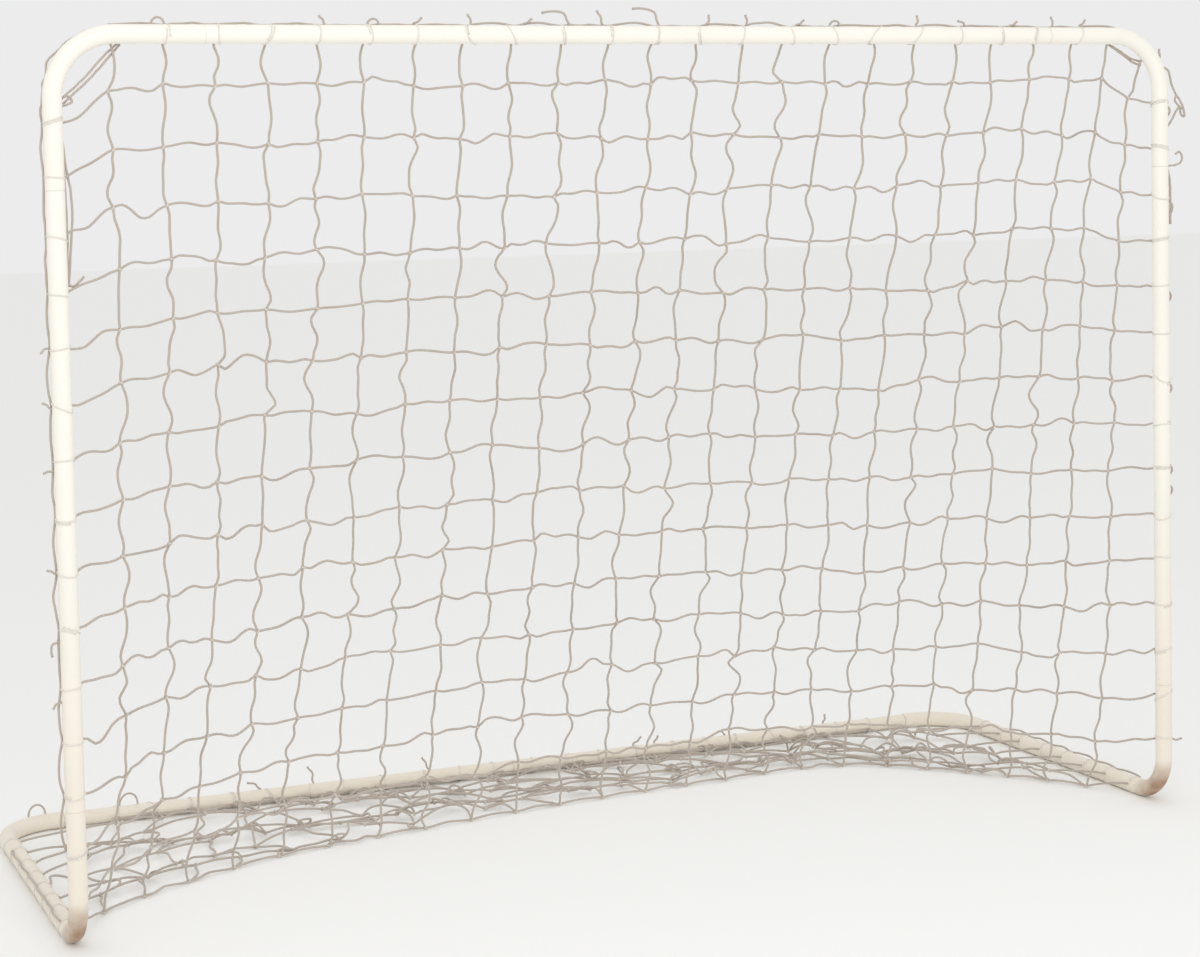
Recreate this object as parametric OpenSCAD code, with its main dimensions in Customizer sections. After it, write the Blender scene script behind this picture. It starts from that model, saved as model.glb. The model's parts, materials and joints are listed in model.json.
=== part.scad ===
// Backyard soccer goal frame: one closed loop of round steel tube that plugs together from
// twelve pieces, locked at every joint by a spring button, with a laced net.
// Millimetres. +X runs along the crossbar, +Y from the goal mouth to the back, +Z up.
// The origin lies on the ground in the middle of the footprint.

/* [Frame] */
// Width over the outsides of the posts
goal_width = 2160; // [1800:10:2600]
// Height from the ground to the top of the crossbar
goal_height = 1520; // [1200:10:2000]
// Depth from the front of the posts to the back of the rear corners
goal_depth = 850; // [700:10:1100]

/* [Tube] */
// Outer diameter of the posts, crossbar and side tubes
tube_d = 32; // [30:1:38]
// Outer diameter of the rear rail
rail_d = 28; // [26:1:29]
// Wall thickness of every tube
wall = 1.2; // [1:0.1:1.5]

/* [Bends] */
// Bend radius of the top corners, to the tube's axis
top_bend_r = 105; // [80:5:140]
// Bend radius of the front feet, to the tube's axis
foot_bend_r = 80; // [60:5:120]
// Bend radius of the rear corners, to the tube's axis
rear_bend_r = 110; // [80:5:110]

/* [Plug joints] */
// From the outside of the frame to the joints of the top corners
top_leg = 268; // [200:2:320]
// From the outside of the frame to the joints of the front feet
foot_leg = 238; // [180:2:280]
// From the outside of the frame to the rear rail's outer joints
rear_leg = 140; // [140:2:200]
// Length of each swaged spigot
spigot_len = 60; // [50:1:80]
// Visible gap where two tubes butt
seam_gap = 0.6; // [0.4:0.1:1.5]

/* [Lock buttons] */
// Diameter of a button's head
button_d = 8; // [6:0.5:9]
// How far a button stands out of the tube
button_proud = 3; // [2:0.5:4]

/* [Net] */
// Thickness of the net's panels
net_t = 4; // [3:1:8]
// Twine diameter of the lashings
twine_d = 4; // [3:0.5:5]
// Pitch of the lashings along the crossbar
bar_pitch = 88; // [84:1:92]
// Pitch of the lashings down each post
post_pitch = 90; // [86:1:92]
// Pitch of the lashings along each side tube
side_pitch = 88; // [86:1:92]
// Pitch of the lashings along the rear rail
rail_pitch = 96; // [90:1:98]

/* [Hidden] */

$fn = 64;

// Tube radii
tube_r = tube_d / 2;
rail_r = rail_d / 2;
slip = 0.2;             // radial clearance of a spigot in its socket
swage_len = 8;          // straight tube taken up by a swage, behind the joint

// Axes of the frame
post_x = goal_width / 2 - tube_r;
bar_z = goal_height - tube_r;
ground_z = tube_r;
lash_clear = 0.3;       // lashings stand this far off the paint
mid_y = (tube_r - rail_r) / 2;
front_y = mid_y - goal_depth / 2 + tube_r;
rear_y = mid_y + goal_depth / 2 - tube_r;

// From a corner's crossing axes to its joints
top_arm = top_leg - tube_r;
foot_arm = foot_leg - tube_r;
rear_arm = rear_leg - tube_r;

// Planes of the joints
bar_joint_x = post_x - top_arm;
top_joint_z = bar_z - top_arm;
foot_joint_z = ground_z + foot_arm;
side_joint_y = front_y + foot_arm;
rail_joint_x = post_x - rear_arm;

// Lock button, measured from the tube's axis
button_at = 30;         // from the joint's plane to the button
button_fit = 0.3;       // radial clearance round a button
flange_r = 5;
flange_t = 1;
flange_drop = 1.4;      // from the spigot's inner wall to the flange
clip_t = 0.7;
clip_w = 10;
clip_leg = 26;

// Where each joint is: plane, turn, outer radius of the socket tube.
// In a joint's own frame +Z points into the socket and +X out through the button.
ALONG_X = [90, 0, 90];
AGAINST_X = [-90, 0, 90];
UPWARD = [0, 0, 90];
FORWARD = [90, 0, 0];
bar_left = [[-bar_joint_x, front_y, bar_z], AGAINST_X, tube_r];
bar_middle = [[0, front_y, bar_z], ALONG_X, tube_r];
bar_right = [[bar_joint_x, front_y, bar_z], ALONG_X, tube_r];
post_left_top = [[-post_x, front_y, top_joint_z], UPWARD, tube_r];
post_right_top = [[post_x, front_y, top_joint_z], UPWARD, tube_r];
post_left_foot = [[-post_x, front_y, foot_joint_z], UPWARD, tube_r];
post_right_foot = [[post_x, front_y, foot_joint_z], UPWARD, tube_r];
side_left = [[-post_x, side_joint_y, ground_z], FORWARD, tube_r];
side_right = [[post_x, side_joint_y, ground_z], FORWARD, tube_r];
rail_left = [[-rail_joint_x, rear_y, ground_z], ALONG_X, rail_r];
rail_middle = [[0, rear_y, ground_z], ALONG_X, rail_r];
rail_right = [[rail_joint_x, rear_y, ground_z], AGAINST_X, rail_r];

// Net panels. The net slopes back from the crossbar to the ground, where it lands on a bowed
// line, and the rest of it lies on the ground as far as the rail.
lash_r = tube_r + lash_clear + twine_d;
net_gap = 4;            // from the lashings to the panels, and from the floor panel up to them
off = lash_r + net_gap;
panel_split = 6;        // between the back panel and a side panel
floor_t = 10;
floor_x = post_x - off;
floor_y = rear_y - off;
top_y = front_y + off;
top_z = bar_z - net_gap;
crease_in = 364;        // from a post's axis to the top of the crease beside it
chord_z = 110;          // lowest row of netting at the post

// Landing line from the left foot to the right: shares of the half width and of the depth
landing = [[-1, 0.13], [-0.88, 0.33], [-0.58, 0.54], [0, 0.66], [0.62, 0.69], [0.885, 0.38],
           [1, 0.13]];
land = [for (p = landing) [p[0] * floor_x, front_y + p[1] * (floor_y - front_y)]];

cream = [0.96, 0.93, 0.87];
steel = [0.72, 0.73, 0.75];
zinc = [0.82, 0.82, 0.80];
twine = [0.72, 0.66, 0.60];

function spigot_r(socket_r) = socket_r - wall - slip;

// ---- tube stock ----

// Section of a tube
module tube_section(r) {
    difference() {
        circle(r);
        circle(r - wall);
    }
}

// Straight tube from z0 to z1 along +Z
module run(r, z0, z1) {
    translate([0, 0, z0])
        linear_extrude(z1 - z0)
            tube_section(r);
}

// Quarter bend in the XZ plane, up along +Z and over to +X, crossing axes at the origin
module quarter_bend(r, bend_r) {
    translate([bend_r, 0, -bend_r])
        mirror([1, 0, 0])
            rotate([90, 0, 0])
                rotate_extrude(angle = 90)
                    translate([bend_r, 0])
                        tube_section(r);
}

// Swaged end: full diameter behind the joint's plane at z = 0, a plug of the socket's bore past it
module swage(r, socket_r) {
    plug_r = spigot_r(socket_r);
    rotate_extrude()
        polygon([[r, -swage_len], [r, -1.5], [r - 0.6, -0.4], [socket_r - 0.8, 0], [plug_r, 0],
                 [plug_r, spigot_len - 3], [plug_r - 0.5, spigot_len],
                 [plug_r - wall, spigot_len], [plug_r - wall, -2],
                 [r - wall, -swage_len + 1], [r - wall, -swage_len]]);
}

// Button holes drilled through the outer side of a joint
module button_hole(joint) {
    translate(joint[0])
        rotate(joint[1])
            translate([0, 0, button_at])
                rotate([0, 90, 0])
                    cylinder(h = joint[2] + button_proud, r = button_d / 2 + button_fit);
}

// Swaged end placed at a joint, on a tube of radius r
module swage_at(joint, r) {
    translate(joint[0])
        rotate(joint[1])
            swage(r, joint[2]);
}

// ---- tubes ----

// Top corner: one leg down to the post, one in along the crossbar
module top_corner(joint_post, joint_bar) {
    color(cream)
        difference() {
            translate([-post_x, front_y, bar_z]) {
                quarter_bend(tube_r, top_bend_r);
                run(tube_r, seam_gap - top_arm, -top_bend_r);
                rotate([0, 90, 0])
                    run(tube_r, top_bend_r, top_arm - seam_gap);
            }
            button_hole(joint_post);
            button_hole(joint_bar);
        }
}

module top_corner_left() {
    top_corner(post_left_top, bar_left);
}

module top_corner_right() {
    mirror([1, 0, 0])
        top_corner(post_left_top, bar_left);
}

// Left half of the crossbar, swaged at both ends
module crossbar_left() {
    color(cream)
        difference() {
            union() {
                translate([0, front_y, bar_z])
                    rotate([0, 90, 0])
                        run(tube_r, swage_len - bar_joint_x, -swage_len);
                swage_at(bar_left, tube_r);
                swage_at(bar_middle, tube_r);
            }
            button_hole(bar_left);
            button_hole(bar_middle);
        }
}

// Right half of the crossbar, a socket in the middle and a swage at the corner
module crossbar_right() {
    color(cream)
        difference() {
            union() {
                translate([0, front_y, bar_z])
                    rotate([0, 90, 0])
                        run(tube_r, seam_gap, bar_joint_x - swage_len);
                swage_at(bar_right, tube_r);
            }
            button_hole(bar_middle);
            button_hole(bar_right);
        }
}

// Post: swaged into the top corner, a socket over the foot
module post(side, joint_top, joint_foot) {
    color(cream)
        difference() {
            union() {
                translate([side * post_x, front_y, 0])
                    run(tube_r, foot_joint_z + seam_gap, top_joint_z - swage_len);
                swage_at(joint_top, tube_r);
            }
            button_hole(joint_top);
            button_hole(joint_foot);
        }
}

module post_left() {
    post(-1, post_left_top, post_left_foot);
}

module post_right() {
    post(1, post_right_top, post_right_foot);
}

// Front foot: up into the post, back along the ground
module front_foot(side, joint_post, joint_side) {
    color(cream)
        difference() {
            union() {
                translate([side * post_x, front_y, ground_z]) {
                    rotate([180, 0, 90])
                        quarter_bend(tube_r, foot_bend_r);
                    run(tube_r, foot_bend_r, foot_arm - swage_len);
                    rotate([-90, 0, 0])
                        run(tube_r, foot_bend_r, foot_arm - seam_gap);
                }
                swage_at(joint_post, tube_r);
            }
            button_hole(joint_post);
            button_hole(joint_side);
        }
}

module front_foot_left() {
    front_foot(-1, post_left_foot, side_left);
}

module front_foot_right() {
    front_foot(1, post_right_foot, side_right);
}

// Rear corner: the long side tube with the bend into the rear rail
module rear_corner(side, joint_side, joint_rail) {
    color(cream)
        difference() {
            union() {
                translate([side * post_x, rear_y, ground_z])
                    mirror([side > 0 ? 1 : 0, 0, 0]) {
                        rotate([-90, 0, 0])
                            quarter_bend(tube_r, rear_bend_r);
                        rotate([90, 0, 0])
                            run(tube_r, rear_bend_r, rear_y - side_joint_y - swage_len);
                        rotate([0, 90, 0])
                            run(tube_r, rear_bend_r, rear_arm - swage_len);
                    }
                swage_at(joint_side, tube_r);
                swage_at(joint_rail, tube_r);
            }
            button_hole(joint_side);
            button_hole(joint_rail);
        }
}

module rear_corner_left() {
    rear_corner(-1, side_left, rail_left);
}

module rear_corner_right() {
    rear_corner(1, side_right, rail_right);
}

// Left half of the rear rail: a socket at the corner, swaged in the middle
module rear_rail_left() {
    color(cream)
        difference() {
            union() {
                translate([0, rear_y, ground_z])
                    rotate([0, 90, 0])
                        run(rail_r, seam_gap - rail_joint_x, -swage_len);
                swage_at(rail_middle, rail_r);
            }
            button_hole(rail_left);
            button_hole(rail_middle);
        }
}

// Right half of the rear rail, a socket at both ends
module rear_rail_right() {
    color(cream)
        difference() {
            translate([0, rear_y, ground_z])
                rotate([0, 90, 0])
                    run(rail_r, seam_gap, rail_joint_x - seam_gap);
            button_hole(rail_middle);
            button_hole(rail_right);
        }
}

// ---- lock buttons and their clips ----

// Domed button with the flange that keeps it in the spigot
module lock_button(joint) {
    head_r = button_d / 2;
    flange_x = spigot_r(joint[2]) - wall - flange_drop;
    tip_x = joint[2] + button_proud;
    dome = 1.5;
    color(zinc)
        translate(joint[0])
            rotate(joint[1])
                translate([0, 0, button_at])
                    rotate([0, 90, 0])
                        rotate_extrude()
                            polygon(concat(
                                [[0, flange_x - flange_t], [flange_r, flange_x - flange_t],
                                 [flange_r, flange_x], [head_r, flange_x]],
                                [for (a = [0 : 15 : 90])
                                    [head_r - dome + dome * cos(a), tip_x - dome + dome * sin(a)]],
                                [[0, tip_x]]));
}

// Half circle of radius r about [x, y], from its right side down and round to its left
function half_turn(x, y, r) = [for (a = [0 : 15 : 180]) [x + r * cos(a), y - r * sin(a)]];

// U-shaped leaf spring inside the spigot, one leg under the button's flange
module lock_spring(joint) {
    bore_r = spigot_r(joint[2]) - wall;
    top_x = bore_r - flange_drop - flange_t - 0.1;
    low_x = 0.2 - sqrt(bore_r * bore_r - clip_w * clip_w / 4);
    bend_x = (top_x + low_x) / 2;
    bend_r = (top_x - low_x) / 2;
    leg_end = clip_leg / 2;
    outer = half_turn(bend_x, -leg_end, bend_r);
    inner = half_turn(bend_x, -leg_end, bend_r - clip_t);
    last = len(inner) - 1;
    color(steel)
        translate(joint[0])
            rotate(joint[1])
                translate([0, 0, button_at])
                    rotate([90, 0, 0])
                        linear_extrude(clip_w, center = true)
                            polygon(concat(
                                [[top_x, leg_end]],
                                outer,
                                [[low_x, leg_end], [low_x + clip_t, leg_end]],
                                [for (i = [last : -1 : 0]) inner[i]],
                                [[top_x - clip_t, leg_end]]));
}

// ---- net ----

// Flat or bent panel: a fan of triangles from the first corner, given a thickness by shift
module panel(corners, shift) {
    n = len(corners);
    color(twine)
        polyhedron(
            points = concat(corners, [for (c = corners) c + shift]),
            faces = concat(
                [for (i = [1 : n - 2]) [0, i, i + 1]],
                [for (i = [1 : n - 2]) [n, n + i + 1, n + i]],
                [for (i = [0 : n - 1]) [i, n + i, n + (i + 1) % n, (i + 1) % n]]));
}

// A point of the landing line, just above the netting on the ground
function landed(p) = [p[0], p[1], floor_t + net_gap];

// Sloping back of the net, from the crossbar to the landing line
module net_back() {
    panel([[crease_in - post_x, top_y, top_z], landed(land[2]), landed(land[3]), landed(land[4]),
           [post_x - crease_in, top_y, top_z]],
          [0, net_t, 0]);
}

// Side of the net, drawn on the right: from the post in to the crease, with the corner under
// the top bend cut off
module net_side(side, crease_low, hip) {
    slant = net_t * sin(45);
    mirror([side < 0 ? 1 : 0, 0, 0])
        panel([landed([side * crease_low[0] + panel_split, crease_low[1]]),
               landed([side * hip[0], hip[1]]),
               [post_x - off, front_y + 2 * net_gap, chord_z],
               [post_x - off, front_y + net_gap, bar_z - top_bend_r - net_gap],
               [post_x - top_bend_r - off, top_y, top_z],
               [post_x + panel_split - crease_in, top_y, top_z]],
              [slant, slant, 0]);
}

module net_side_left() {
    net_side(-1, land[2], land[1]);
}

module net_side_right() {
    net_side(1, land[4], land[5]);
}

// Plan of the ground inside the side tubes, rear corners rounded
module ground_inside() {
    corner_r = rear_bend_r - off;
    translate([-floor_x, front_y])
        square([2 * floor_x, floor_y - corner_r - front_y]);
    translate([corner_r - floor_x, front_y])
        square([2 * (floor_x - corner_r), floor_y - front_y]);
    for (side = [-1, 1])
        translate([side * (floor_x - corner_r), floor_y - corner_r])
            circle(corner_r);
}

// Rest of the net, on the ground between the landing line and the rail
module net_floor() {
    color(twine)
        linear_extrude(floor_t)
            intersection() {
                ground_inside();
                polygon(concat(land, [[floor_x, floor_y], [-floor_x, floor_y]]));
            }
}

// ---- lashings ----

// One turn of twine round a tube that runs along +Z
module lashing(r) {
    linear_extrude(twine_d, center = true)
        difference() {
            circle(r + lash_clear + twine_d);
            circle(r + lash_clear);
        }
}

// Lashings lie flat where a tube rests on the ground
module off_ground() {
    difference() {
        children();
        translate([-goal_width, -goal_depth, -goal_height])
            cube([2 * goal_width, 2 * goal_depth, goal_height + lash_clear]);
    }
}

module lashing_crossbar() {
    count = floor((post_x - top_bend_r) / bar_pitch);
    color(twine)
        for (i = [-count : count])
            translate([i * bar_pitch, front_y, bar_z])
                rotate([0, 90, 0])
                    lashing(tube_r);
}

module lashing_post(side) {
    first_z = bar_z - top_bend_r - 39;
    color(twine)
        for (z = [first_z : -post_pitch : ground_z + foot_bend_r])
            translate([side * post_x, front_y, z])
                lashing(tube_r);
}

module lashing_post_left() {
    lashing_post(-1);
}

module lashing_post_right() {
    lashing_post(1);
}

module lashing_side(side) {
    first_y = front_y + 110;
    color(twine)
        off_ground()
            for (y = [first_y : side_pitch : rear_y - rear_bend_r])
                translate([side * post_x, y, ground_z])
                    rotate([90, 0, 0])
                        lashing(tube_r);
}

module lashing_side_left() {
    lashing_side(-1);
}

module lashing_side_right() {
    lashing_side(1);
}

module lashing_rail() {
    count = floor((rail_joint_x - 50) / rail_pitch);
    color(twine)
        off_ground()
            for (i = [-count : count])
                translate([i * rail_pitch, rear_y, ground_z])
                    rotate([0, 90, 0])
                        lashing(rail_r);
}

top_corner_left();
top_corner_right();
crossbar_left();
crossbar_right();
post_left();
post_right();
front_foot_left();
front_foot_right();
rear_corner_left();
rear_corner_right();
rear_rail_left();
rear_rail_right();
lock_button(bar_left);  // button_bar_left
lock_button(bar_middle);  // button_bar_middle
lock_button(bar_right);  // button_bar_right
lock_button(post_left_top);  // button_post_left_top
lock_button(post_right_top);  // button_post_right_top
lock_button(post_left_foot);  // button_post_left_foot
lock_button(post_right_foot);  // button_post_right_foot
lock_button(side_left);  // button_side_left
lock_button(side_right);  // button_side_right
lock_button(rail_left);  // button_rail_left
lock_button(rail_middle);  // button_rail_middle
lock_button(rail_right);  // button_rail_right
lock_spring(bar_left);  // spring_bar_left
lock_spring(bar_middle);  // spring_bar_middle
lock_spring(bar_right);  // spring_bar_right
lock_spring(post_left_top);  // spring_post_left_top
lock_spring(post_right_top);  // spring_post_right_top
lock_spring(post_left_foot);  // spring_post_left_foot
lock_spring(post_right_foot);  // spring_post_right_foot
lock_spring(side_left);  // spring_side_left
lock_spring(side_right);  // spring_side_right
lock_spring(rail_left);  // spring_rail_left
lock_spring(rail_middle);  // spring_rail_middle
lock_spring(rail_right);  // spring_rail_right
net_back();
net_side_left();
net_side_right();
net_floor();
lashing_crossbar();
lashing_post_left();
lashing_post_right();
lashing_side_left();
lashing_side_right();
lashing_rail();
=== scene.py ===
"""Looks of a backyard soccer goal: cream tube frame, laced twine net, studio and camera.

Everything is in metres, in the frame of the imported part: +X along the crossbar, +Y from the
goal mouth to the back, +Z up, with the origin on the ground in the middle of the footprint.
"""

import json
import logging
import math
from dataclasses import dataclass, field
from enum import Enum
from typing import Any

import bpy
import numpy as np
from mathutils import Matrix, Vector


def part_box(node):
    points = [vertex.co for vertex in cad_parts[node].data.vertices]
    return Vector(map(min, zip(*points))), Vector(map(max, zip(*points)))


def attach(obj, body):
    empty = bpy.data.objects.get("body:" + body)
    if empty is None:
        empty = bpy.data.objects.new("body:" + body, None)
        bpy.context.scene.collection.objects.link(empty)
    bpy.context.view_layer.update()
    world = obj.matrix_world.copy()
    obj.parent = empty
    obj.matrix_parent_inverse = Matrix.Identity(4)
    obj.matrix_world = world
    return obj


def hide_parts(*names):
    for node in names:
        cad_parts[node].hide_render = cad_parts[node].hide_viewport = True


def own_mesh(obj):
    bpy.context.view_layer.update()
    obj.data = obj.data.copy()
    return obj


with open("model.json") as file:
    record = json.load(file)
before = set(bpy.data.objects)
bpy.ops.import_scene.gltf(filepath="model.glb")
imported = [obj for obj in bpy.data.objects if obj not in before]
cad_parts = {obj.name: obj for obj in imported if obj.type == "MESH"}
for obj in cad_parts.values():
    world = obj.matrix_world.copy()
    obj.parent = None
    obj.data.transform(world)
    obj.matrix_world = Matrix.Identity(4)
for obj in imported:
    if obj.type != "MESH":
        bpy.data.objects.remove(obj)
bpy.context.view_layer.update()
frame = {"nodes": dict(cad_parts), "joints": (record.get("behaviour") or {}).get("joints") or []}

logging.basicConfig(level=logging.INFO, format="%(name)s: %(message)s")
LOG = logging.getLogger("goal")

Knot = tuple[int, int]
Path = np.ndarray

TINY = 1e-9
UP = np.array([0.0, 0.0, 1.0])
# Directions in the hung net: across it to the right, down its slope, and off its back
NET_RIGHT = np.array([1.0, 0.0, 0.0])
NET_DOWN = np.array([0.0, 0.25, -0.97])
NET_BACK = np.array([0.0, 0.97, 0.25])


# ---- shared helpers ----


def srgb(code: str) -> tuple[float, float, float, float]:
    """Turn an sRGB hex colour into a linear RGBA tuple.

    Args:
        code: Colour such as "F4EEE2".

    Returns:
        Linear red, green, blue and an alpha of one.
    """
    parts = [int(code[k : k + 2], 16) / 255 for k in (0, 2, 4)]
    linear = [c / 12.92 if c <= 0.04045 else ((c + 0.055) / 1.055) ** 2.4 for c in parts]
    return (linear[0], linear[1], linear[2], 1.0)


def add_node(
    tree: bpy.types.NodeTree,
    kind: str,
    settings: dict[Any, Any] | None = None,
    links: dict[Any, bpy.types.NodeSocket] | None = None,
) -> bpy.types.Node:
    """Add a node, with its settings and links.

    Args:
        tree: Node tree that receives the node.
        kind: Node type, such as "ShaderNodeTexNoise".
        settings: Values by attribute name, or by input name or number.
        links: Output sockets by input name or number.

    Returns:
        The new node.
    """
    node = tree.nodes.new(kind)
    for key, value in (settings or {}).items():
        if isinstance(key, str) and hasattr(node, key):
            setattr(node, key, value)
        else:
            node.inputs[key].default_value = value
    for key, socket in (links or {}).items():
        tree.links.new(socket, node.inputs[key])
    return node


def new_material(name: str) -> tuple[bpy.types.Material, bpy.types.NodeTree]:
    """Make an empty node material.

    Args:
        name: The material's name.

    Returns:
        The material and its node tree.
    """
    material = bpy.data.materials.new(name)
    material.use_nodes = True
    material.node_tree.nodes.clear()
    return material, material.node_tree


def blend_colours(
    tree: bpy.types.NodeTree,
    amount: bpy.types.NodeSocket,
    first: Any,
    second: Any,
) -> bpy.types.NodeSocket:
    """Mix two colours, each a hex code or a socket.

    Args:
        tree: Node tree that receives the mix.
        amount: Socket that says how much of the second colour shows.
        first: Colour at amount zero.
        second: Colour at amount one.

    Returns:
        The mixed colour's socket.
    """
    node = add_node(tree, "ShaderNodeMix", {"data_type": "RGBA"}, {0: amount})
    for slot, colour in ((6, first), (7, second)):
        if isinstance(colour, str):
            node.inputs[slot].default_value = srgb(colour)
        else:
            tree.links.new(colour, node.inputs[slot])
    return node.outputs[2]


def remap(
    tree: bpy.types.NodeTree, value: bpy.types.NodeSocket, low: float, high: float,
    to_low: float = 0.0, to_high: float = 1.0,
) -> bpy.types.NodeSocket:
    """Map a value from one range to another, with clamping.

    Args:
        tree: Node tree that receives the map.
        value: Socket to map.
        low: Start of the source range.
        high: End of the source range.
        to_low: Result at low.
        to_high: Result at high.

    Returns:
        The mapped value's socket.
    """
    settings = {"From Min": low, "From Max": high, "To Min": to_low, "To Max": to_high}
    return add_node(tree, "ShaderNodeMapRange", settings, {"Value": value}).outputs[0]


def unit(v: np.ndarray) -> np.ndarray:
    """Scale vectors to length one."""
    return v / np.maximum(np.linalg.norm(v, axis=-1, keepdims=True), TINY)


# ---- finishes ----


@dataclass(frozen=True)
class PowderCoat:
    """Cream polyester powder coat on steel tube, sprayed and baked.

    Powder leaves a satin skin with a faint orange peel. Towards the ground it turns warmer and
    darker, partly from years outdoors and partly as painted shade, and dirtier; it is scuffed along
    the rail, and brown at the front feet from rusting and from painted shade in their bends.
    """

    feet: tuple[float, float]
    name: str = "powder_coat_cream"
    clean: str = "F9F5EC"
    # Colour low down: weathered coat with painted shade in it
    aged_and_shaded: str = "EDE4D4"
    dirt: str = "C9BAA4"
    # Brown of the feet: rusting, with painted shade in the bends
    rust_and_shade: str = "8F5A22"
    dirt_share: float = 0.20
    scuff_share: float = 0.6
    peel_mm: float = 2.2
    roughness: float = 0.38

    def weather(self, tree: bpy.types.NodeTree, place: bpy.types.NodeSocket,
                parts: bpy.types.Node) -> bpy.types.NodeSocket:
        """Warm and darken the coat towards the ground, with an uneven edge: partly weathering, partly
        painted shade.

        Args:
            tree: Node tree of the coat.
            place: Position on the frame.
            parts: The position's three numbers.

        Returns:
            The coat's colour before marks.
        """
        # Painted shade along with weathering: the colour darkens as height falls
        height = remap(tree, parts.outputs["Z"], 0.75, 0.0)
        cloud = add_node(tree, "ShaderNodeTexNoise", {"Scale": 9.0, "Detail": 5.0}, {"Vector": place})
        uneven = add_node(tree, "ShaderNodeMath", {"operation": "MULTIPLY_ADD", 1: 0.5, 2: -0.25},
                          {0: cloud.outputs[0]})
        age_and_shade = add_node(tree, "ShaderNodeMath", {"operation": "ADD", "use_clamp": True},
                       {0: height, 1: uneven.outputs[0]})
        return blend_colours(tree, age_and_shade.outputs[0], self.clean, self.aged_and_shaded)

    def soil(self, tree: bpy.types.NodeTree, parts: bpy.types.Node, grime: bpy.types.NodeSocket,
             colour: bpy.types.NodeSocket) -> bpy.types.NodeSocket:
        """Add patches of grime, mostly low down.

        Args:
            tree: Node tree of the coat.
            parts: The position's three numbers.
            grime: Noise with patches about 25 mm across.
            colour: Colour under the grime.

        Returns:
            The soiled colour.
        """
        patches = remap(tree, grime, 0.54, 0.74)
        low = remap(tree, parts.outputs["Z"], 0.3, 0.01, 0.08, 1.0)
        soiled = add_node(tree, "ShaderNodeMath", {"operation": "MULTIPLY"}, {0: patches, 1: low})
        soiled = add_node(tree, "ShaderNodeMath", {"operation": "MULTIPLY", 1: self.dirt_share},
                          {0: soiled.outputs[0]})
        return blend_colours(tree, soiled.outputs[0], colour, self.dirt)

    def scuff(self, tree: bpy.types.NodeTree, place: bpy.types.NodeSocket, parts: bpy.types.Node,
              colour: bpy.types.NodeSocket) -> bpy.types.NodeSocket:
        """Add scuffs that run along the rear rail, about 60 mm long and a few millimetres wide.

        Args:
            tree: Node tree of the coat.
            place: Position on the frame.
            parts: The position's three numbers.
            colour: Colour under the scuffs.

        Returns:
            The scuffed colour.
        """
        stretch = add_node(tree, "ShaderNodeMapping", {"Scale": (16.0, 260.0, 900.0)}, {"Vector": place})
        streaks = add_node(tree, "ShaderNodeTexNoise", {"Scale": 1.0, "Detail": 2.0},
                           {"Vector": stretch.outputs[0]})
        marks = remap(tree, streaks.outputs[0], 0.66, 0.74)
        back = remap(tree, parts.outputs["Y"], 0.30, 0.38)
        marks = add_node(tree, "ShaderNodeMath", {"operation": "MULTIPLY"}, {0: marks, 1: back})
        marks = add_node(tree, "ShaderNodeMath", {"operation": "MULTIPLY", 1: self.scuff_share},
                         {0: marks.outputs[0]})
        return blend_colours(tree, marks.outputs[0], colour, self.dirt)

    def rust_and_shade_at_feet(self, tree: bpy.types.NodeTree, place: bpy.types.NodeSocket, parts: bpy.types.Node,
                colour: bpy.types.NodeSocket) -> bpy.types.NodeSocket:
        """Let rusting bleed out at the two front feet, where the ground wears the coat through, and paint
        shade into their bends in the same brown.

        Args:
            tree: Node tree of the coat.
            place: Position on the frame.
            parts: The position's three numbers.
            colour: Colour under the rust.

        Returns:
            The rusted colour.
        """
        mirrored = add_node(tree, "ShaderNodeVectorMath", {"operation": "ABSOLUTE"}, {0: place})
        foot = (self.feet[0], abs(self.feet[1]), 0.0)
        away = add_node(tree, "ShaderNodeVectorMath", {"operation": "DISTANCE", 1: foot},
                        {0: mirrored.outputs[0]})
        near = remap(tree, away.outputs["Value"], 0.09, 0.03)
        front = remap(tree, parts.outputs["Y"], -0.2, -0.3)
        near = add_node(tree, "ShaderNodeMath", {"operation": "MULTIPLY"}, {0: near, 1: front})
        bleed = add_node(tree, "ShaderNodeTexNoise", {"Scale": 30.0, "Detail": 3.0}, {"Vector": place})
        spread = remap(tree, bleed.outputs[0], 0.3, 0.7, 0.55, 1.1)
        # Painted shade and rusting together, strongest at each foot's bend
        rust_and_shade_mask = add_node(tree, "ShaderNodeMath", {"operation": "MULTIPLY", "use_clamp": True},
                         {0: near.outputs[0], 1: spread})
        return blend_colours(tree, rust_and_shade_mask.outputs[0], colour, self.rust_and_shade)

    def build(self) -> bpy.types.Material:
        """Build the material.

        Returns:
            The powder coat.
        """
        material, tree = new_material(self.name)
        place = add_node(tree, "ShaderNodeTexCoord").outputs["Object"]
        parts = add_node(tree, "ShaderNodeSeparateXYZ", links={0: place})
        grime = add_node(tree, "ShaderNodeTexNoise", {"Scale": 40.0, "Detail": 6.0, "Roughness": 0.7},
                         {"Vector": place}).outputs[0]
        colour = self.weather(tree, place, parts)
        colour = self.soil(tree, parts, grime, colour)
        colour = self.scuff(tree, place, parts, colour)
        colour = self.rust_and_shade_at_feet(tree, place, parts, colour)
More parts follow.
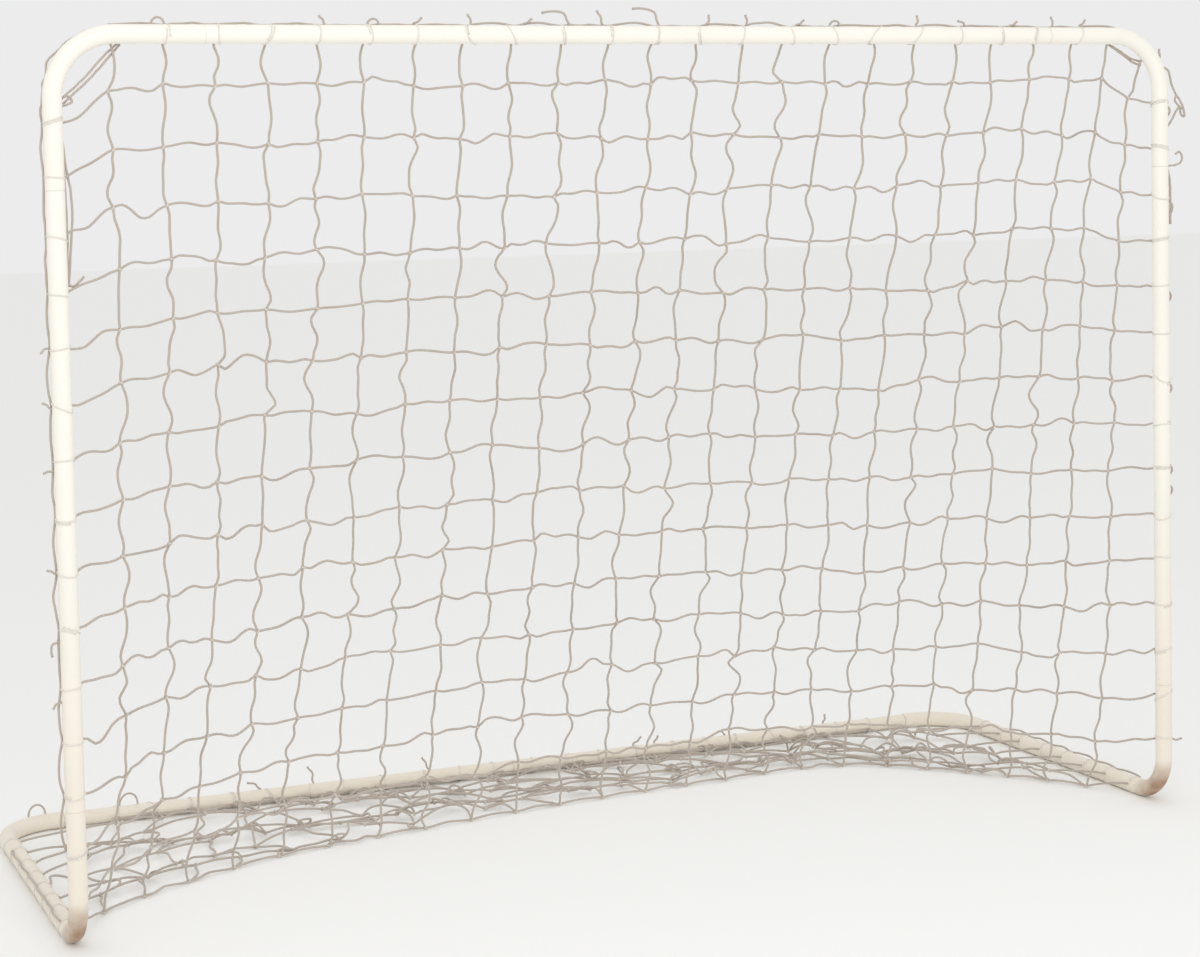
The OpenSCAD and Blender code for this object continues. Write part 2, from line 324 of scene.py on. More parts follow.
        # Orange peel: shallow dimples a couple of millimetres apart that soften reflections
        peel = add_node(tree, "ShaderNodeTexNoise", {"Scale": 1000 / self.peel_mm, "Detail": 1.0},
                        {"Vector": place})
        bump = add_node(tree, "ShaderNodeBump", {"Strength": 0.12, "Distance": 0.0004},
                        {"Height": peel.outputs[0]})
        gloss = remap(tree, grime, 0.3, 0.8, self.roughness - 0.05, self.roughness + 0.2)
        shader = add_node(
            tree, "ShaderNodeBsdfPrincipled", {"IOR": 1.5, "Specular IOR Level": 0.5},
            {"Base Color": colour, "Roughness": gloss, "Normal": bump.outputs[0]},
        )
        add_node(tree, "ShaderNodeOutputMaterial", links={0: shader.outputs[0]})
        return material


@dataclass(frozen=True)
class BareMetal:
    """Stamped or turned steel with a thin plating, tumbled and slightly dulled.

    Plating gives a soft grey mirror with cloudy patches and fine rubbing marks.
    """

    name: str
    colour: str
    dull: str
    roughness: float
    mark_mm: float = 1.2

    def build(self) -> bpy.types.Material:
        """Build the material.

        Returns:
            The plated metal.
        """
        material, tree = new_material(self.name)
        place = add_node(tree, "ShaderNodeTexCoord").outputs["Object"]
        cloud = add_node(tree, "ShaderNodeTexNoise", {"Scale": 240.0, "Detail": 4.0}, {"Vector": place})
        colour = blend_colours(tree, remap(tree, cloud.outputs[0], 0.35, 0.7), self.colour, self.dull)
        marks = add_node(tree, "ShaderNodeTexNoise", {"Scale": 1000 / self.mark_mm, "Detail": 2.0},
                         {"Vector": place})
        bump = add_node(tree, "ShaderNodeBump", {"Strength": 0.15, "Distance": 0.0001},
                        {"Height": marks.outputs[0]})
        gloss = remap(tree, cloud.outputs[0], 0.3, 0.8, self.roughness, self.roughness + 0.2)
        shader = add_node(
            tree, "ShaderNodeBsdfPrincipled", {"Metallic": 1.0},
            {"Base Color": colour, "Roughness": gloss, "Normal": bump.outputs[0]},
        )
        add_node(tree, "ShaderNodeOutputMaterial", links={0: shader.outputs[0]})
        return material


@dataclass(frozen=True)
class Twine:
    """Twisted fibre twine, laid in three plies and weathered to a beige grey.

    The plies show as slanting light and dark bands, and loose fibre makes it dead matt.
    """

    name: str
    light: str
    dark: str
    lay_mm: float = 9.0
    roughness: float = 0.88

    def build(self) -> bpy.types.Material:
        """Build the material. U runs once round the twine and V along it in metres.

        Returns:
            The twine.
        """
        material, tree = new_material(self.name)
        lay = add_node(tree, "ShaderNodeUVMap", {"uv_map": "twine"})
        parts = add_node(tree, "ShaderNodeSeparateXYZ", links={0: lay.outputs[0]})
        turns = add_node(tree, "ShaderNodeMath", {"operation": "MULTIPLY", 1: 3000 / self.lay_mm},
                         {0: parts.outputs["Y"]})
        plies = add_node(tree, "ShaderNodeMath", {"operation": "MULTIPLY_ADD", 1: 3.0},
                         {0: parts.outputs["X"], 2: turns.outputs[0]})
        phase = add_node(tree, "ShaderNodeMath", {"operation": "MULTIPLY", 1: 2 * math.pi},
                         {0: plies.outputs[0]})
        wave = add_node(tree, "ShaderNodeMath", {"operation": "SINE"}, {0: phase.outputs[0]})
        band = remap(tree, wave.outputs[0], -1.0, 0.6)
        place = add_node(tree, "ShaderNodeTexCoord").outputs["Object"]
        weather = add_node(tree, "ShaderNodeTexNoise", {"Scale": 14.0, "Detail": 4.0}, {"Vector": place})
        fibre = add_node(tree, "ShaderNodeTexNoise", {"Scale": 700.0, "Detail": 3.0}, {"Vector": place})
        colour = blend_colours(tree, band, self.dark, self.light)
        stain = remap(tree, weather.outputs[0], 0.5, 0.8, 0.0, 0.45)
        colour = blend_colours(tree, stain, colour, self.dark)
        speck = remap(tree, fibre.outputs[0], 0.55, 0.8, 0.0, 0.4)
        colour = blend_colours(tree, speck, colour, self.light)
        height = add_node(tree, "ShaderNodeMath", {"operation": "MULTIPLY_ADD", 1: 0.25},
                          {0: fibre.outputs[0], 2: band})
        bump = add_node(tree, "ShaderNodeBump", {"Strength": 0.6, "Distance": 0.0006},
                        {"Height": height.outputs[0]})
        shader = add_node(
            tree, "ShaderNodeBsdfPrincipled",
            {"Roughness": self.roughness, "Specular IOR Level": 0.2, "Sheen Weight": 0.25,
             "Sheen Roughness": 0.6},
            {"Base Color": colour, "Normal": bump.outputs[0]},
        )
        add_node(tree, "ShaderNodeOutputMaterial", links={0: shader.outputs[0]})
        return material


@dataclass(frozen=True)
class PaleFloor:
    """Plain white studio floor, painted and matt."""

    colour: str = "FAFAF8"

    def build(self) -> bpy.types.Material:
        """Build the floor's material.

        Returns:
            The floor paint.
        """
        material, tree = new_material("studio_floor")
        shader = add_node(tree, "ShaderNodeBsdfPrincipled",
                          {"Base Color": srgb(self.colour), "Roughness": 0.95, "Specular IOR Level": 0.1})
        add_node(tree, "ShaderNodeOutputMaterial", links={0: shader.outputs[0]})
        return material


# ---- twine geometry ----


def smooth_path(points: Path, parts: int = 2) -> Path:
    """Run a smooth curve through points, with extra points between them.

    Args:
        points: Points that the curve passes through.
        parts: Number of pieces that each stretch is cut into.

    Returns:
        Points along the curve; every given point is kept.
    """
    p = np.vstack([2 * points[0] - points[1], points, 2 * points[-1] - points[-2]])
    out = []
    for k in range(1, len(p) - 2):
        a, b, c, d = p[k - 1 : k + 3]
        for t in np.arange(parts) / parts:
            out.append(0.5 * (2 * b + (c - a) * t + (2 * a - 5 * b + 4 * c - d) * t**2
                              + (3 * b - a - 3 * c + d) * t**3))
    return np.array(out + [points[-1]])


@dataclass
class TwineMesh:
    """Collects lengths of twine and turns them into one mesh of round tubes.

    Attributes:
        sides: Faces round each tube.
    """

    sides: int = 6
    rings: list[np.ndarray] = field(default_factory=list)
    lengths: list[np.ndarray] = field(default_factory=list)
    quads: list[np.ndarray] = field(default_factory=list)
    caps: list[list[int]] = field(default_factory=list)
    count: int = 0
    total: float = 0.0

    def frames(self, path: Path) -> tuple[np.ndarray, np.ndarray]:
        """Carry a pair of cross directions along a path without twisting.

        Args:
            path: The centre line.

        Returns:
            Two arrays of unit vectors across the path.
        """
        tangent = unit(np.gradient(path, axis=0))
        start = np.array([0.0, 0.0, 1.0]) if abs(tangent[0][2]) < 0.8 else np.array([1.0, 0.0, 0.0])
        normal = unit(np.cross(tangent[0], start))
        normals = [normal]
        for t in tangent[1:]:
            normal = normal - t * float(normal @ t)
            normal = normal / max(float(np.linalg.norm(normal)), TINY)
            normals.append(normal)
        first = np.array(normals)
        return first, np.cross(tangent, first)

    def add(self, path: Path, radius: float | np.ndarray, cuts: set[int] | None = None,
            capped: bool = True) -> None:
        """Add one length of twine.

        Args:
            path: The centre line.
            radius: Radius of the twine, one value or one at each point.
            cuts: Points where the tube is cut for a knot.
            capped: Whether the two ends are closed.
        """
        first, second = self.frames(path)
        steps = np.linalg.norm(np.diff(path, axis=0), axis=1)
        along = np.concatenate([[0.0], np.cumsum(steps)])
        self.total += float(along[-1])
        order: list[int] = []
        broken: list[int] = []
        for k in range(len(path)):
            order.append(k)
            if cuts and k in cuts and 0 < k < len(path) - 1:
                broken.append(len(order) - 1)
                order.append(k)
        index = np.array(order)
        angle = np.arange(self.sides) * 2 * math.pi / self.sides
        size = np.broadcast_to(np.asarray(radius, float), (len(path),))[index]
        ring = path[index][:, None] + size[:, None, None] * (
            first[index][:, None] * np.cos(angle)[None, :, None]
            + second[index][:, None] * np.sin(angle)[None, :, None])
        self.rings.append(ring.reshape(-1, 3))
        self.lengths.append(along[index])
        k = np.array([r for r in range(len(index) - 1) if r not in set(broken)])
        s = np.arange(self.sides)
        a = self.count + k[:, None] * self.sides + s[None]
        b = self.count + k[:, None] * self.sides + (s[None] + 1) % self.sides
        self.quads.append(np.stack([a, b, b + self.sides, a + self.sides], axis=-1).reshape(-1, 4))
        if capped:
            last = self.count + (len(index) - 1) * self.sides
            self.caps.append([self.count + q for q in reversed(range(self.sides))])
            self.caps.append([last + q for q in range(self.sides)])
        self.count += len(index) * self.sides

    def build(self, name: str, material: bpy.types.Material) -> bpy.types.Object:
        """Make the mesh object.

        Args:
            name: The piece's name.
            material: Its finish.

        Returns:
            The new object, linked to the scene.
        """
        points = np.vstack(self.rings)
        quads = np.vstack(self.quads)
        along = np.concatenate(self.lengths)
        mesh = bpy.data.meshes.new(name)
        loops = np.concatenate([quads.ravel(), np.array([v for c in self.caps for v in c], int)])
        sizes = [4] * len(quads) + [self.sides] * len(self.caps)
        mesh.vertices.add(len(points))
        mesh.vertices.foreach_set("co", points.ravel())
        mesh.loops.add(len(loops))
        mesh.loops.foreach_set("vertex_index", loops.astype(np.int32))
        mesh.polygons.add(len(sizes))
        starts = np.concatenate([[0], np.cumsum(sizes)[:-1]]).astype(np.int32)
        mesh.polygons.foreach_set("loop_start", starts)
        mesh.polygons.foreach_set("loop_total", np.array(sizes, np.int32))
        mesh.polygons.foreach_set("use_smooth", np.ones(len(sizes), bool))
        layer = mesh.uv_layers.new(name="twine")
        around = (loops % self.sides) / self.sides
        seam = np.zeros(len(loops))
        corner = np.arange(len(quads) * 4) % 4
        last_side = np.repeat(quads[:, 0] % self.sides == self.sides - 1, 4)
        seam[: len(quads) * 4] = (last_side & ((corner == 1) | (corner == 2))).astype(float)
        uv = np.stack([around + seam, along[loops // self.sides]], axis=-1)
        layer.data.foreach_set("uv", uv.astype(np.float32).ravel())
        mesh.update(calc_edges=True)
        mesh.validate()
        mesh.materials.append(material)
        piece = bpy.data.objects.new(name, mesh)
        bpy.context.scene.collection.objects.link(piece)
        return piece


# ---- frame sizes ----


@dataclass
class Loop:
    """Axes of the tube loop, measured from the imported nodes."""

    post_x: float = 0.0
    bar_z: float = 0.0
    front_y: float = 0.0
    rear_y: float = 0.0
    ground_z: float = 0.0
    tube_r: float = 0.0
    rail_r: float = 0.0
    top_bend: float = 0.105
    rear_bend: float = 0.110

    @classmethod
    def measure(cls) -> "Loop":
        """Measure the loop.

        Returns:
            The axes and radii.
        """
        low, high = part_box("post_right")
        bar_low, bar_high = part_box("crossbar_left")
        rail_low, rail_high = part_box("rear_rail_left")
        side_low, side_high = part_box("rear_corner_right")
        return cls(
            post_x=(low.x + high.x) / 2,
            bar_z=(bar_low.z + bar_high.z) / 2,
            front_y=(low.y + high.y) / 2,
            rear_y=(rail_low.y + rail_high.y) / 2,
            ground_z=(side_low.z + side_high.z) / 2,
            tube_r=(high.x - low.x) / 2,
            rail_r=(rail_high.z - rail_low.z) / 2,
        )


# ---- net ----


@dataclass
class NetForm:
    """Where every knot of the net lies.

    The net is one rectangle, 25 squares wide and 24 long. Its top edge is laced to the
    crossbar, its long edges to the posts and then the side tubes, and its last edge to the
    rear rail. It slopes back from the crossbar, lands on the ground on a bowed line, and the
    rest lies crumpled as far as the rail.

    Attributes:
        landing: Landing line in plan: across from the left post's inner side, and back from
            the posts' axis.
        drift: Share of the landing line by which its middle knots lie further to the right.
    """

    loop: Loop
    edge: int = 25
    land_row: int = 16
    last_row: int = 24
    pitch: float = 0.088
    left_drop: float = 0.0915
    right_drop: float = 0.089
    side_pitch: float = 0.088
    land_share: float = 1.15
    pull_top: float = 0.5
    pull_low: float = 0.3
    rounds: int = 14
    seed: int = 7
    drift: float = 0.036
    landing: tuple[tuple[float, float], ...] = (
        (0.0, 0.12), (0.06, 0.20), (0.15, 0.27), (0.25, 0.33), (0.45, 0.42), (0.75, 0.48), (1.05, 0.53),
        (1.40, 0.56), (1.60, 0.575), (1.70, 0.56), (1.78, 0.51), (1.90, 0.38), (2.00, 0.26), (2.09, 0.10),
    )
    knots: dict[Knot, np.ndarray] = field(default_factory=dict)

    @property
    def inner(self) -> float:
        """Inner side of the posts, where the net's edge lies."""
        return self.loop.post_x - self.loop.tube_r + 0.0015

    def pins(self) -> dict[Knot, np.ndarray]:
        """Place the knots that the frame or the ground holds, down to the landing row.

        Returns:
            Point of each held knot.
        """
        lp, pins = self.loop, {}
        y = lp.front_y + 0.0095
        for i in range(1, self.edge - 1):
            pins[i, 0] = np.array([self.pitch * (i - 12), y + 0.002, lp.bar_z + 0.012])
        pins[self.edge - 1, 0] = np.array([self.inner - 0.016, y, lp.bar_z - 0.040])
        pins[0, 0] = np.array([-self.inner, y, lp.bar_z - 0.075])
        pins[self.edge, 0] = np.array([self.inner, y, lp.bar_z - 0.075])
        for j in range(1, self.land_row):
            pins[0, j] = np.array([-self.inner, y, lp.bar_z - 0.143 - self.left_drop * (j - 1)])
            pins[self.edge, j] = np.array([self.inner, y, lp.bar_z - 0.128 - self.right_drop * (j - 1)])
        for i, side in ((0, -1), (self.edge, 1)):
            pins[i, self.land_row] = np.array([side * self.inner, lp.front_y + 0.1, 0.02])
        for i, (across, back) in enumerate(self.landing_stops(), start=1):
            pins[i, self.land_row] = np.array([across - self.inner, lp.front_y + back, 0.004])
        return pins

    def landing_stops(self) -> np.ndarray:
        """Share the landing row's bars out along the landing line, nearly evenly.

        Returns:
            Plan position of the landing knot of each inner column.
        """
        line = smooth_path(np.array(self.landing), 8)
        along = np.concatenate([[0.0], np.cumsum(np.linalg.norm(np.diff(line, axis=0), axis=1))])
        even = np.linspace(0.0, 1.0, self.edge + 1)[1:-1]
        stops = along[-1] * (even + self.drift * np.sin(math.pi * even))
        return np.stack([np.interp(stops, along, line[:, k]) for k in (0, 1)], axis=-1)

    def hang(self) -> None:
        """Find the taut part by force densities, with equal bars down each column."""
        pins = self.pins()
        every = [(i, j) for i in range(self.edge + 1) for j in range(self.land_row + 1)]
        free = {k: n for n, k in enumerate(k for k in every if k not in pins)}
        across = [((i, j), (i + 1, j)) for i, j in every if j > 0 and i < self.edge]
        down = [((i, j), (i, j + 1)) for i, j in every if 0 < i < self.edge and j < self.land_row]
        share = {b: self.land_share if b[1][1] == self.land_row else 1.0 for b in down}
        force = {b: 1.0 / share[b] for b in down}
        place = dict(pins)
        for _ in range(self.rounds):
            matrix = np.zeros((len(free), len(free)))
            load = np.zeros((len(free), 3))
            slope = (self.pull_low - self.pull_top) / self.land_row
            bars = [(b, self.pull_top + slope * b[0][1]) for b in across] + list(force.items())
            for (a, b), q in bars:
                for u, v in ((a, b), (b, a)):
                    if u not in free:
                        continue
                    matrix[free[u], free[u]] += q
                    if v in free:
                        matrix[free[u], free[v]] -= q
                    else:
                        load[free[u]] += q * pins[v]
            found = np.linalg.solve(matrix, load)
            place.update({k: found[n] for k, n in free.items()})
            size = {b: float(np.linalg.norm(place[b[0]] - place[b[1]])) for b in down}
            for i in range(1, self.edge):
                column = [b for b in down if b[0][0] == i]
                even = sum(size[b] for b in column) / sum(share[b] for b in column)
                for b in column:
                    force[b] *= (size[b] / (even * share[b])) ** 0.45
        self.knots.update(place)

    def rear_limit(self, x: Any) -> Any:
        """Furthest back that twine lies at a place along the rail, which bends at its ends."""
        lp = self.loop
        over = np.maximum(np.abs(x) - (lp.post_x - lp.rear_bend), 0.0)
        bend = lp.rear_bend - np.sqrt(np.maximum(lp.rear_bend**2 - over**2, 0.0))
        return lp.rear_y - lp.rail_r - 0.005 - bend * 1.2

    def fence(self, points: Path) -> Path:
        """Keep twine that lies on the ground inside the tube loop."""
        room = self.loop.post_x - self.loop.tube_r - 0.002
        points[:, 0] = np.clip(points[:, 0], -room, room)
        limit = self.rear_limit(points[:, 0])
        points[:, 1] = np.minimum(points[:, 1], limit)
        points[:, 2] = np.minimum(points[:, 2], 0.012 + 0.35 * (limit - points[:, 1]))
        return points

    def rail_point(self, i: int) -> np.ndarray:
        """Point on the rear rail or rear bend where a column ends."""
        lp = self.loop
        x = (i - self.edge / 2) * 0.0805
        return np.array([x, self.rear_limit(x) + 0.003, 0.010])

    def lay(self) -> None:
        """Place the knots that lie on the ground, between the landing line and the rail."""
        rng = np.random.default_rng(self.seed)
        lp = self.loop
        rows = self.last_row - self.land_row
        for j in range(self.land_row + 1, self.last_row + 1):
            t = (j - self.land_row) / rows
            for i in range(self.edge + 1):
                if i in (0, self.edge):
                    side = -1 if i == 0 else 1
                    y = lp.front_y + 0.1 + self.side_pitch * (j - self.land_row) * 0.92
                    self.knots[i, j] = np.array([side * self.inner, y, 0.022])
                    continue
                a, b = self.knots[i, self.land_row], self.rail_point(i)
                bunch = 0.09 * math.sin(1.9 * j + 0.7 * i) * math.sin(math.pi * t)
                p = a + (b - a) * (t + bunch)
                if j < self.last_row:
                    sway = 0.030 * math.sin(2.2 * j + 0.45 * i)
                    p = p + np.array([sway + rng.normal(0, 0.012), rng.normal(0, 0.012), 0.0])
                    p[1] = min(p[1], b[1] - 0.006)
                    p[2] = 0.004 + min(abs(rng.normal(0, 0.011)), 0.026)
                self.knots[i, j] = p

    def loosen(self) -> None:
        """Shift the free knots of the taut part a little, as in a hand-knotted net."""
        rng = np.random.default_rng(self.seed + 1)
        for i in range(1, self.edge):
            for j in range(1, self.land_row):
                self.knots[i, j] = self.knots[i, j] + rng.normal(0, (0.0032, 0.0025, 0.0038))

    def settle(self) -> None:
        """Work out every knot."""
        self.hang()
        hung = {k: p for k, p in self.knots.items() if 0 < k[0] < self.edge}
        for word, (di, dj) in (("across", (1, 0)), ("down", (0, 1))):
            bars = [float(np.linalg.norm(p - hung[i + di, j + dj])) for (i, j), p in hung.items()
                    if j > 0 and (i + di, j + dj) in hung]
            LOG.info("hung bars %s: mean %.1f mm, longest %.1f mm",
                     word, 1000 * np.mean(bars), 1000 * max(bars))
        self.loosen()
        self.lay()


@dataclass
class Netting:
    """The net's twine: rows and columns with the kinks of used twine, and their knots.

    Each bar is a tube that stays open at its ends, inside the knots. The sheet measure takes
    such strands as one layer, and it would take closed ones as two.

    Attributes:
        bar: Length of twine between two knots, down the net.
        square: The same across the net, where the knots are tied a little closer.
        sag: Share of its length by which a bar across the net bows down.
    """

    form: NetForm
    radius: float = 0.0022
    bar: float = 0.100
    cuts_per_bar: int = 6
    smoothing: int = 2
    sag: float = 0.012
    square: float = 0.095
    seed: int = 11

    def bar_path(self, a: np.ndarray, b: np.ndarray, side: np.ndarray, out: np.ndarray,
                 lying: bool, rng: np.random.Generator, sag: float) -> Path:
        """Draw one bar between two knots.

        Args:
            a: First knot.
            b: Second knot.
            side: Direction in the net, across the bar.
            out: Direction off the net.
            lying: Whether the bar lies on the ground.
            rng: Source of the bar's own kinks.
            sag: Share by which the bar tends to hang to the side direction.

        Returns:
            Points from a up to, but without, b.
        """
        s = np.arange(self.cuts_per_bar) / self.cuts_per_bar
        chord = float(np.linalg.norm(b - a))
        wave = [np.sin(k * math.pi * s) for k in (1, 2, 3, 4)]
        if lying:
            spare = 0.5 * math.sqrt(max((self.bar * rng.uniform(0.6, 0.95)) ** 2 - chord**2, 0.0))
            turn = rng.uniform(0, 2 * math.pi)
            offset = spare * (math.cos(turn) * wave[0] + 0.5 * math.sin(turn) * wave[1])
            offset = offset + chord * rng.normal(0, 0.03) * wave[2]
            lift = (0.003 + 0.35 * spare * min(abs(rng.normal(0, 1)), 1.6)) * wave[0]
            offset = offset * rng.uniform(0.5, 1.0)
        else:
            wild = float(np.clip(np.exp(rng.normal(0, 0.4)), 0.4, 1.9))
            kinks = np.clip(rng.normal(0, 1, 4), -1.7, 1.7) * (0.046, 0.034, 0.018, 0.009)
            kinks[0] += sag
            offset = chord * wild * sum(k * w for k, w in zip(kinks, wave))
            lift = chord * wild * (rng.normal(0, 0.025) * wave[0] + rng.normal(0, 0.015) * wave[1])
        points = a + (b - a) * s[:, None] + side * offset[:, None] + out * lift[:, None]
        if lying:
            points[1:] = self.form.fence(points[1:])
        points[:, 2] = np.maximum(points[:, 2], self.radius)
        return points

    def strand(self, stops: list[Knot], rng: np.random.Generator) -> tuple[Path, set[int]]:
        """Draw one continuous strand through its knots.

        Args:
            stops: The knots in order.
            rng: Source of the kinks.

        Returns:
            The strand's path, and the points on it that are knots.
        """
        knots = self.form.knots
        parts = []
        for u, v in zip(stops, stops[1:]):
            a, b = knots[u], knots[v]
            lying = min(u[1], v[1]) >= self.form.land_row
            along = unit(b - a)
            if lying:
                side, out, sag = unit(np.cross(along, UP)), UP, 0.0
            elif u[1] == v[1]:
                side, out, sag = NET_DOWN, NET_BACK, self.sag
            else:
                side, out, sag = NET_RIGHT, NET_BACK, 0.0
            parts.append(self.bar_path(a, b, side, out, lying, rng, sag))
        path = np.vstack(parts + [knots[stops[-1]][None]])
        points_per_bar = self.cuts_per_bar * self.smoothing
        return smooth_path(path, self.smoothing), {k * points_per_bar for k in range(len(stops))}

    def build(self, twine: bpy.types.Material, knot_twine: bpy.types.Material) -> list[bpy.types.Object]:
        """Build the strands and the knots.

        Args:
            twine: Finish of the strands.
            knot_twine: Finish of the knots.

        Returns:
            The netting and its knots.
        """
        rng = np.random.default_rng(self.seed)
        form, strands, bends = self.form, TwineMesh(), TwineMesh(sides=6)
        for j in range(1, form.last_row):
            path, cuts = self.strand([(i, j) for i in range(form.edge + 1)], rng)
            strands.add(path, self.radius, cuts, capped=False)
        for i in range(1, form.edge):
            path, cuts = self.strand([(i, j) for j in range(form.last_row + 1)], rng)
            strands.add(path, self.radius, cuts, capped=False)
        for i in range(1, form.edge):
            for j in range(1, form.last_row):
                self.knot(bends, (i, j), rng)
        netting = strands.build("netting", twine)
        LOG.info("netting: %.1f m of twine", strands.total)
        return [netting, bends.build("net_knots", knot_twine)]

    def knot(self, bends: TwineMesh, at: Knot, rng: np.random.Generator) -> None:
        """Add the turn of twine that ties a crossing.

        Args:
            bends: Mesh that collects the knots.
            at: The crossing.
            rng: Source of small differences.
        """
        knots = self.form.knots
        centre = knots[at]
        across = unit(knots[at[0] + 1, at[1]] - knots[at[0] - 1, at[1]])
        down = unit(knots[at[0], at[1] + 1] - knots[at[0], at[1] - 1])
        axis = unit(across + down * rng.choice((-1.0, 1.0)))
        first = unit(np.cross(across, down))
        second = unit(np.cross(axis, first))
        points = 9
        angle = np.linspace(0, 2 * math.pi * 1.1, points)
        reach = self.radius * 1.35
        path = centre + reach * (np.cos(angle)[:, None] * first + np.sin(angle)[:, None] * second)
        path = path + axis * np.linspace(-0.5, 0.5, points)[:, None] * self.radius
        path[:, 2] = np.maximum(path[:, 2], self.radius * 0.8)
        bends.add(path, self.radius * 0.85)


class Ends(Enum):
    """How a loose end of lacing is left."""

    TAIL = "tail"
    HOOK = "hook"
    LOOP = "loop"


@dataclass(frozen=True)
class LooseEnd:
    """A loose end of lacing: where it leaves the tube, which way it points and how long it is."""

    base: tuple[float, float, float]
    way: tuple[float, float, float]
    length: float
    kind: Ends = Ends.TAIL


